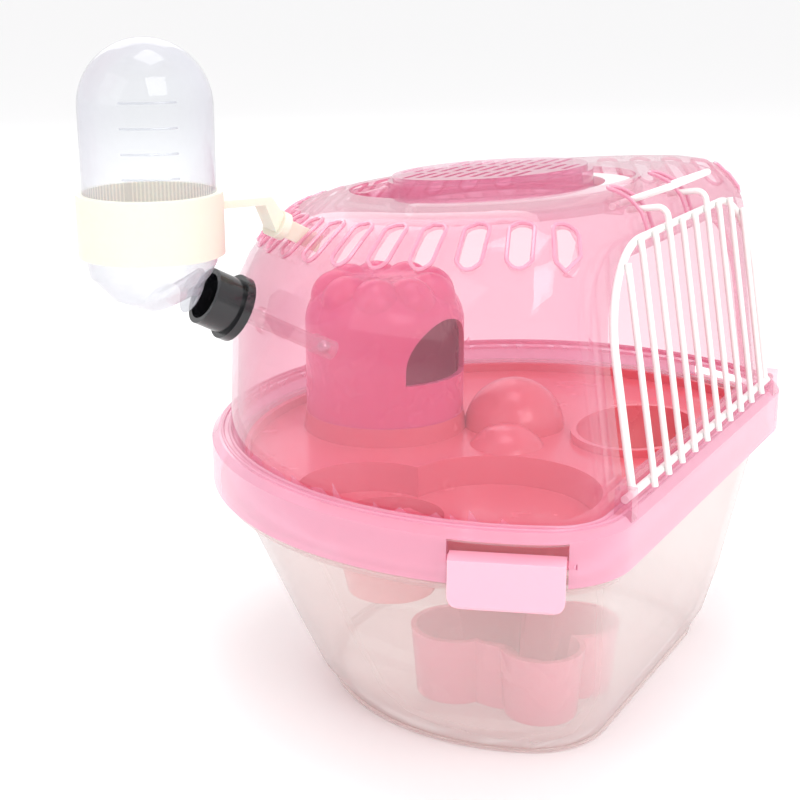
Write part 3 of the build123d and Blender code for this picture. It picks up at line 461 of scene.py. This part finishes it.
class Finishes(Enum):
    """Every finish on the cage."""

    DOME = TintedPlastic(
        "pink tinted dome", "dome_pink", (0.90, 0.36, 0.53), (0.93, 0.46, 0.61),
        tint=(0.965, 0.85, 0.885), haze=0.05, rim=0.30, relief=0.03, roughness=0.12,
    )
    FLANGE = TintedPlastic(
        "milky pink rim", "dome_pink", (0.96, 0.52, 0.67), (0.97, 0.60, 0.73),
        tint=(0.97, 0.74, 0.83), haze=0.38, rim=0.35, roughness=0.16,
    )
    LID = TintedPlastic(
        "pink tinted lid", "lid_pink", (0.86, 0.42, 0.58), (0.90, 0.50, 0.64),
        tint=(0.95, 0.78, 0.85), haze=0.15, rim=0.30, roughness=0.12,
    )
    LATCH = SolidPlastic(
        "latch pink", "latch_pink", (0.93, 0.44, 0.55), (0.95, 0.50, 0.61), depth=0.3, coat=0.2,
    )
    BASE = TintedPlastic(
        "frosted base", "frosted_clear", (0.90, 0.84, 0.82), (0.94, 0.88, 0.86),
        tint=(0.980, 0.950, 0.940), haze=0.13, rim=0.45, gloss=0.16, roughness=0.30, relief=0.08,
    )
    DECK = SolidPlastic(
        "coral deck", "coral", (0.77, 0.17, 0.205), (0.84, 0.23, 0.27), depth=0.25,
        coat=0.3, roughness=0.22,
    )
    HOUSE = SolidPlastic(
        "magenta house", "magenta", (0.78, 0.15, 0.32), (0.86, 0.21, 0.39), depth=0.4,
        coat=0.2, roughness=0.25,
    )
    BOWL = SolidPlastic(
        "bowl pink", "bowl_pink", (0.84, 0.17, 0.31), (0.89, 0.24, 0.38), depth=0.3,
        coat=0.2, roughness=0.25,
    )
    HANDLE = SolidPlastic(
        "handle white", "handle_white", (0.88, 0.88, 0.87), (0.93, 0.92, 0.90), depth=0.15,
        coat=0.2, roughness=0.28,
    )
    WIRE = SolidPlastic(
        "coated wire", "white_wire", (0.86, 0.86, 0.84), (0.92, 0.92, 0.90), grain=1400.0,
        relief=0.10, coat=0.4, roughness=0.30,
    )
    BOTTLE = TintedPlastic(
        "clear bottle", "bottle_clear", (0.62, 0.61, 0.70), (0.72, 0.71, 0.78),
        tint=(0.945, 0.958, 0.965), haze=0.08, rim=0.55, rim_blend=0.35, roughness=0.14,
    )
    SPOUT = TintedPlastic(
        "clear spout", "spout_clear", (0.90, 0.72, 0.78), (0.94, 0.80, 0.84),
        tint=(0.98, 0.94, 0.95), haze=0.12, rim=0.40, roughness=0.12,
    )
    CAP = SolidPlastic(
        "black cap", "cap_black", (0.010, 0.010, 0.012), (0.016, 0.016, 0.018), roughness=0.22,
        coat=0.3,
    )
    SEAL = SolidPlastic(
        "seal rubber", "seal_grey", (0.05, 0.05, 0.052), (0.07, 0.07, 0.07), roughness=0.65,
    )
    BAND = SolidPlastic(
        "ivory band", "band_ivory", (0.80, 0.765, 0.65), (0.84, 0.80, 0.70), depth=0.35,
        coat=0.1, roughness=0.34,
    )
    BALL = Metal("polished ball", "ball_steel", (0.72, 0.72, 0.74), (0.78, 0.78, 0.80))

    def apply(self, piece: bpy.types.Object) -> None:
        """Gives the whole of a piece this finish.

        Args:
            piece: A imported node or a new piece.
        """
        made = bpy.data.materials.get(self.value.name) or self.value.material()
        piece.data.materials.clear()
        piece.data.materials.append(made)


# ---------------------------------------------------------------- the cage's own geometry
@dataclass(frozen=True)
class CagePlan:
    """The cage's plan: a round back closed by a straight front, in metres.

    Attributes:
        radius: Radius of the flange's outer edge.
        centre_y: Where the round back is centred.
        front_y: The straight front of the flange.
        corner: Radius of the flange's front corners.
        least_corner: The smallest radius that a front corner comes down to.
        bend_steps: How many points each front corner has.
    """

    radius: float = 103.5 * MM
    centre_y: float = -22.0 * MM
    front_y: float = -81.5 * MM
    corner: float = 28.0 * MM
    least_corner: float = 12.0 * MM
    bend_steps: int = 16

    def outline(
        self, inset: float, z: float, front: Optional[float] = None,
        corner: Optional[float] = None, steps: int = 120,
    ) -> list[Vector]:
        """Points round the plan, a distance inside its edge.

        Args:
            inset: Distance inside the flange's outer edge.
            z: The height of the line.
            front: Where the straight front lies, if it isn't that same distance inside.
            corner: Radius of the front corners, if it isn't the flange's own.
            steps: How many points the round back has.

        Returns:
            The closed line's points, in order.
        """
        radius = self.radius - inset
        edge = self.front_y + inset if front is None else front
        turn = max(self.corner - inset, self.least_corner) if corner is None else corner
        reach = radius - turn
        middle_y = edge + turn
        middle_x = math.sqrt(reach**2 - (middle_y - self.centre_y) ** 2)
        meet = math.atan2(middle_y - self.centre_y, middle_x)
        points = []
        for index in range(steps + 1):
            angle = meet + (math.pi - 2 * meet) * index / steps
            points.append(
                Vector((radius * math.cos(angle), self.centre_y + radius * math.sin(angle), z))
            )
        bend = self.bend_steps
        for index in range(1, bend + 1):
            angle = math.pi - meet + (math.pi / 2 + meet) * index / bend
            points.append(
                Vector((turn * math.cos(angle) - middle_x, middle_y + turn * math.sin(angle), z))
            )
        for index in range(bend):
            angle = 1.5 * math.pi + (math.pi / 2 + meet) * index / bend
            points.append(
                Vector((middle_x + turn * math.cos(angle), middle_y + turn * math.sin(angle), z))
            )
        return points


PLAN = CagePlan()
FLANGE_TOP = 84.0 * MM
ROOF_TILT = math.radians(4.9)
ROOF_Y = -4.6 * MM
VENT_COUNT = 28
VENT_FIRST = -29.0
VENT_LAST = 209.0
VENT_ANGLES = [
    math.radians(VENT_FIRST + index * (VENT_LAST - VENT_FIRST) / (VENT_COUNT - 1))
    for index in range(VENT_COUNT)
]
BOTTLE_VENT = 20


def ring(
    middle: Vector, across: Vector, along: Vector, straight: float, radius: float, steps: int = 8
) -> list[Vector]:
    """Points round a slot with two round ends.

    Args:
        middle: The slot's middle.
        across: Unit vector over the slot's width.
        along: Unit vector down the slot's length.
        straight: Half the distance between the round ends' centres.
        radius: Radius of the round ends.
        steps: How many lengths each round end has.

    Returns:
        The closed line's points, in order.
    """
    points = []
    for end in (1, -1):
        for step in range(steps + 1):
            turn = math.pi * step / steps
            swing = across * math.cos(turn) + along * math.sin(turn)
            points.append(middle + end * (along * straight + swing * radius))
    return points


def arc(middle: Vector, radius: float, start: float, span: float, steps: int) -> list[Vector]:
    """Points along a level arc.

    Args:
        middle: The arc's middle.
        radius: Its radius.
        start: Where it starts, in degrees from +X toward +Y.
        span: How far it runs, in degrees.
        steps: How many lengths it has.

    Returns:
        The arc's points, in order.
    """
    points = []
    for step in range(steps + 1):
        turn = math.radians(start + span * step / steps)
        points.append(middle + Vector((radius * math.cos(turn), radius * math.sin(turn), 0)))
    return points


# ---------------------------------------------------------------- sub-assemblies
@dataclass
class Tub:
    """The frosted base with its deck, play house and bowl.

    Attributes:
        lip_inset: Where the lip's bead runs, inside the flange's edge.
        lip_z: The height of that bead.
        lip_bead: Its radius.
        foot_inset: Where the foot's bead runs on the round side.
        foot_front: How far it runs behind the flange's straight front.
        foot_corner: Radius of its front corners.
        foot_z: The height of that bead.
        foot_bead: Its radius.
    """

    frame: dict
    lip_inset: float = 2.6 * MM
    lip_z: float = 67.4 * MM
    lip_bead: float = 0.45 * MM
    foot_inset: float = 37.6 * MM
    foot_front: float = 18.2 * MM
    foot_corner: float = 25.0 * MM
    foot_z: float = 1.3 * MM
    foot_bead: float = 0.7 * MM

    def build(self) -> None:
        """Dresses the base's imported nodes."""
        Finishes.BASE.apply(polished_copy(self.frame, "base_tub", "base_shell"))
        Finishes.DECK.apply(polished_copy(self.frame, "upper_deck", "deck_moulding"))
        Finishes.HOUSE.apply(polished_copy(self.frame, "play_house", "house_moulding", 40))
        Finishes.BOWL.apply(polished_copy(self.frame, "floor_bowl", "bowl_moulding", 40))
        self._beads()

    def _beads(self) -> None:
        """Adds the tub's moulded beads: one round its lip and one round its foot."""
        lip_line = PLAN.outline(self.lip_inset, self.lip_z)
        lip = tube("lip_bead", lip_line, self.lip_bead, closed=True)
        foot_line = PLAN.outline(
            self.foot_inset, self.foot_z, PLAN.front_y + self.foot_front, self.foot_corner
        )
        foot = tube("foot_bead", foot_line, self.foot_bead, closed=True)
        beads = merged([lip, foot], "tub_beads")
        Finishes.BASE.apply(beads)
        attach(beads, "base")


@dataclass
class Dome:
    """The tinted cover and what is moulded into it.

    Attributes:
        wall_top_inset: Inset of the wall where the shoulder starts.
        shoulder_width: How far the shoulder comes in.
        shoulder_z: The height at which it starts.
        shoulder_height: How far it rises.
        vent_turn: How far up the shoulder the vents lie, in degrees.
        vent_straight: Half the distance between a vent's round ends.
        lip_reach: Radius of a vent lip's round ends.
        lip_bead: Radius of the bead that makes a lip.
        rim_inset: Where the bead on the flange runs.
        rim_bead: Its radius.
        wall_inset: Where the bead at the wall's foot runs on the round side.
        wall_front_y: Where it runs along the straight front.
        wall_corner: Radius of its front corners.
        wall_bead: Its radius.
        slot_x: Distance of the hook slots from the middle.
        slot_half: Half the width inside a slot's raised edge.
        slot_end_y: Where a slot's round end starts.
        slot_bow: How far that end bows back.
        roof_least_z: Lower than this the ray has passed through the slot.
    """

    frame: dict
    wall_top_inset: float = 7.5 * MM
    shoulder_width: float = 31.0 * MM
    shoulder_z: float = 121.0 * MM
    shoulder_height: float = 38.0 * MM
    vent_turn: float = 57.0
    vent_straight: float = 5.0 * MM
    lip_reach: float = 3.45 * MM
    lip_bead: float = 0.6 * MM
    rim_inset: float = 3.4 * MM
    rim_bead: float = 0.55 * MM
    wall_inset: float = 5.8 * MM
    wall_front_y: float = -75.2 * MM
    wall_corner: float = 16.0 * MM
    wall_bead: float = 0.7 * MM
    slot_x: float = 17.25 * MM
    slot_half: float = 2.4 * MM
    slot_end_y: float = -53.0 * MM
    slot_bow: float = 2.2 * MM
    roof_least_z: float = 150.0 * MM

    def build(self) -> None:
        """Dresses the dome and its latches."""
        shell = polished_copy(self.frame, "dome_cover", "dome_shell", 20)
        Finishes.DOME.apply(shell)
        self._milky_flange(shell)
        self._vent_lips(shell)
        self._rim_beads()
        self._slot_bosses(shell)
        for node in ("left_latch", "right_latch"):
            Finishes.LATCH.apply(polished_copy(self.frame, node, f"{node}_flap", 30))
        Finishes.LID.apply(polished_copy(self.frame, "vent_lid", "lid_shell", 30))
        Finishes.HANDLE.apply(polished_copy(self.frame, "carry_handle", "handle_bail", 30))

    def _milky_flange(self, shell: bpy.types.Object) -> None:
        """Gives the thick flange and its skirt the milkier finish.

        Args:
            shell: The dome's surface.
        """
        milky = Finishes.FLANGE.value
        shell.data.materials.append(bpy.data.materials.get(milky.name) or milky.material())
        for face in shell.data.polygons:
            if face.center.z < FLANGE_TOP + 0.1 * MM:
                face.material_index = 1

    def _vent_lips(self, shell: bpy.types.Object) -> None:
        """Lays a raised lip round every vent slot.

        Args:
            shell: The dome's surface, which the lips follow.
        """
        turn = math.radians(self.vent_turn)
        reach = PLAN.radius - self.wall_top_inset - self.shoulder_width * (1 - math.cos(turn))
        height = self.shoulder_z + self.shoulder_height * math.sin(turn)
        roof_z = self.shoulder_z + self.shoulder_height
        rise = math.atan2(
            math.sin(turn) / self.shoulder_height, math.cos(turn) / self.shoulder_width
        )
        lips = []
        for angle in VENT_ANGLES:
            y = PLAN.centre_y + reach * math.sin(angle)
            share = (height - FLANGE_TOP) / (roof_z - FLANGE_TOP)
            lift = (ROOF_Y - y) * math.sin(ROOF_TILT) * share
            middle = Vector((reach * math.cos(angle), y, height + lift))
            across = Vector((-math.sin(angle), math.cos(angle), 0))
            outward = Vector(
                (math.cos(rise) * math.cos(angle), math.cos(rise) * math.sin(angle), math.sin(rise))
            )
            line = []
            edge = ring(
                middle, across, outward.cross(across), self.vent_straight, self.lip_reach
            )
            for point in edge:
                found, place, normal, _ = shell.closest_point_on_mesh(point + outward * MM)
                line.append(place + normal * 0.15 * MM if found else point)
            name = f"vent_lip_{len(lips)}"
            lips.append(tube(name, line, self.lip_bead, closed=True, sides=1))
        joined = merged(lips, "vent_lips")
        Finishes.FLANGE.apply(joined)
        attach(joined, "dome")

    def _rim_beads(self) -> None:
        """Lays one bead on top of the flange and one where the wall rises from it."""
        rim_line = PLAN.outline(self.rim_inset, FLANGE_TOP)
        outer = tube("rim_bead", rim_line, self.rim_bead, closed=True)
        wall_line = PLAN.outline(self.wall_inset, FLANGE_TOP, self.wall_front_y, self.wall_corner)
        inner = tube("foot_of_wall_bead", wall_line, self.wall_bead, closed=True)
        beads = merged([outer, inner], "rim_beads")
        Finishes.FLANGE.apply(beads)
        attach(beads, "dome")

    def _slot_bosses(self, shell: bpy.types.Object) -> None:
        """Runs a raised edge round each of the two slots that the door's hooks pass through.

        Args:
            shell: The dome's surface, which the edges follow.
        """
        straight = [-step * MM for step in range(66, 53, -2)]
        edges = []
        for middle_x in (-self.slot_x, self.slot_x):
            plan = [(middle_x - self.slot_half, y) for y in straight]
            for step in range(1, 8):
                turn = math.pi * step / 8
                x = middle_x - self.slot_half * math.cos(turn)
                plan.append((x, self.slot_end_y + self.slot_bow * math.sin(turn)))
            plan += [(middle_x + self.slot_half, y) for y in reversed(straight)]
            line = []
            for x, y in plan:
                above = Vector((x, y, 2 * self.roof_least_z))
                found, place, normal, _ = shell.ray_cast(above, Vector((0, 0, -1)))
                if found and place.z > self.roof_least_z:
                    line.append(place + normal * 0.1 * MM)
            if len(line) > 4:
                edges.append(tube(f"slot_edge_{len(edges)}", line, self.lip_bead, sides=2))
        joined = merged(edges, "slot_bosses")
        Finishes.FLANGE.apply(joined)
        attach(joined, "dome")


@dataclass
class WireDoor:
    """The welded wire door and its finger latch."""

    frame: dict

    def build(self) -> None:
        """Dresses the wires."""
        for node in (
            "door_arch_wire", "door_hinge_wire", "door_bars", "door_hook_bars", "door_latch_wire",
        ):
            Finishes.WIRE.apply(polished_copy(self.frame, node, f"{node}_coated", 40))


@dataclass
class WaterBottle:
    """The drinking bottle, its band and its spout.

    Attributes:
        axis_radius: Distance of the bottle's axis from the plan's centre.
        radius: The bottle's radius.
        line_heights: The heights of the fill lines.
        line_start: Where they start, in degrees from +X toward +Y.
        line_span: How far they run round the bottle, in degrees.
        line_bead: Their radius.
        lip_heights: The heights of the band's lips.
        lip_radius: The radius that they run at.
        lip_bead: Their own radius.
    """

    frame: dict
    axis_radius: float = 126.0 * MM
    radius: float = 18.0 * MM
    line_heights: tuple[float, ...] = (172.0 * MM, 178.5 * MM, 185.0 * MM, 191.5 * MM)
    line_start: float = 196.0
    line_span: float = 48.0
    line_bead: float = 0.3 * MM
    lip_heights: tuple[float, ...] = (150.3 * MM, 165.7 * MM)
    lip_radius: float = 19.2 * MM
    lip_bead: float = 0.55 * MM

    def build(self) -> None:
        """Dresses the bottle."""
        Finishes.BOTTLE.apply(polished_copy(self.frame, "bottle_body", "bottle_shell", 30))
        Finishes.SEAL.apply(polished_copy(self.frame, "bottle_seal", "seal_washer", 30))
        Finishes.CAP.apply(polished_copy(self.frame, "bottle_cap", "cap_moulding", 30))
        Finishes.SPOUT.apply(polished_copy(self.frame, "spout_tube", "spout_shell", 30))
        Finishes.BALL.apply(polished_copy(self.frame, "spout_ball", "ball_bearing", 60))
        Finishes.BAND.apply(polished_copy(self.frame, "bottle_band", "band_moulding", 30))
        self._band_lips()
        self._fill_lines()

    def _axis_at(self, height: float) -> Vector:
        """The point of the bottle's axis at a height."""
        angle = VENT_ANGLES[BOTTLE_VENT]
        return Vector(
            (
                self.axis_radius * math.cos(angle),
                PLAN.centre_y + self.axis_radius * math.sin(angle),
                height,
            )
        )

    def _fill_lines(self) -> None:
        """Raises four plain fill lines on the bottle's outer side."""
        lines = []
        for height in self.line_heights:
            middle = self._axis_at(height)
            line = arc(middle, self.radius, self.line_start, self.line_span, 12)
            lines.append(tube(f"fill_line_{len(lines)}", line, self.line_bead, sides=1))
        joined = merged(lines, "fill_lines")
        Finishes.BOTTLE.apply(joined)
        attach(joined, "bottle")

    def _band_lips(self) -> None:
        """Lays a thin lip round the band's two edges."""
        lips = []
        for height in self.lip_heights:
            line = arc(self._axis_at(height), self.lip_radius, 0.0, 360.0, 64)[:-1]
            lips.append(tube(f"band_lip_{len(lips)}", line, self.lip_bead, closed=True))
        joined = merged(lips, "band_lips")
        Finishes.BAND.apply(joined)
        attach(joined, "bottle")


# ---------------------------------------------------------------- stage, light and camera
@dataclass
class Studio:
    """A pale floor, soft lights and the camera.

    Attributes:
        floor_half: Half the floor's width.
        camera_place: Where the camera stands.
        camera_pitch: How far it looks down, in degrees.
        camera_heading: Which way it looks, in degrees from +X toward +Y.
        camera_roll: Its roll, in degrees.
        lens: Its lens, in millimetres on a 36 mm frame.
    """

    floor_half: float = 30.0
    camera_place: tuple[float, float, float] = (-0.4306, -0.2101, 0.2290)
    camera_pitch: float = 16.55
    camera_heading: float = 28.92
    camera_roll: float = -0.12
    lens: float = 68.4

    def build(self) -> None:
        """Makes the floor, the lights and the camera."""
        self._floor()
        self._world()
        self._light("key", (-0.55, -0.85, 0.95), 0.7, 6.0)
        self._light("fill", (-1.0, 0.5, 0.7), 0.9, 2.0)
        self._light("back", (0.8, 0.8, 0.9), 0.9, 3.0)
        self._light("top", (0.05, 0.0, 1.2), 0.5, 2.5)
        self._camera()
        bpy.context.scene.view_settings.view_transform = "Standard"
        bpy.context.scene.cycles.transparent_max_bounces = 32

    def _floor(self) -> None:
        """Lays the pale floor under the cage."""
        clear_selection()
        bpy.ops.mesh.primitive_plane_add(size=2 * self.floor_half, location=(0, 0, 0))
        floor = bpy.context.view_layer.objects.active
        floor.name = "stage_floor"
        material = bpy.data.materials.new("pale floor")
        material.use_nodes = True
        body = material.node_tree.nodes["Principled BSDF"]
        body.inputs["Base Color"].default_value = (0.94, 0.935, 0.94, 1)
        body.inputs["Roughness"].default_value = 0.75
        body.inputs["Specular IOR Level"].default_value = 0.15
        floor.data.materials.append(material)

    def _world(self) -> None:
        """Lights the scene from all round with a soft white."""
        world = bpy.data.worlds.new("soft white")
        bpy.context.scene.world = world
        world.use_nodes = True
        world.node_tree.nodes["Background"].inputs["Color"].default_value = (1, 1, 1, 1)
        world.node_tree.nodes["Background"].inputs["Strength"].default_value = 1.0

    def _light(self, name: str, place: Sequence[float], size: float, power: float) -> None:
        """Adds one soft lamp aimed at the cage.

        Args:
            name: The lamp's name.
            place: Where it hangs.
            size: Its width.
            power: Its power in watts.
        """
        lamp = bpy.data.lights.new(name, "AREA")
        lamp.size = size
        lamp.energy = power
        holder = bpy.data.objects.new(name, lamp)
        bpy.context.scene.collection.objects.link(holder)
        holder.location = place
        aim = Vector((0, 0, 0.08)) - Vector(place)
        holder.rotation_euler = aim.to_track_quat("-Z", "Y").to_euler()

    def _camera(self) -> None:
        """Stands the camera in front of the cage's left corner."""
        data = bpy.data.cameras.new("camera")
        data.lens = self.lens
        data.sensor_width = 36.0
        data.clip_start = 0.01
        data.clip_end = 100.0
        camera = bpy.data.objects.new("camera", data)
        bpy.context.scene.collection.objects.link(camera)
        camera.location = self.camera_place
        turn = Matrix.Rotation(math.radians(self.camera_heading - 90), 4, "Z")
        turn @= Matrix.Rotation(math.radians(90 - self.camera_pitch), 4, "X")
        turn @= Matrix.Rotation(math.radians(self.camera_roll), 4, "Z")
        camera.rotation_euler = turn.to_euler()
        bpy.context.scene.camera = camera


def main() -> None:
    """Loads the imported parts, dresses every sub-assembly and sets the stage."""
    logging.basicConfig(level=logging.INFO, format="%(name)s: %(message)s")
    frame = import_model()
    for assembly in (Tub, Dome, WireDoor, WaterBottle):
        assembly(frame).build()
        LOG.info("built %s", assembly.__name__)
    Studio().build()


if __name__ == "__main__":
    main()
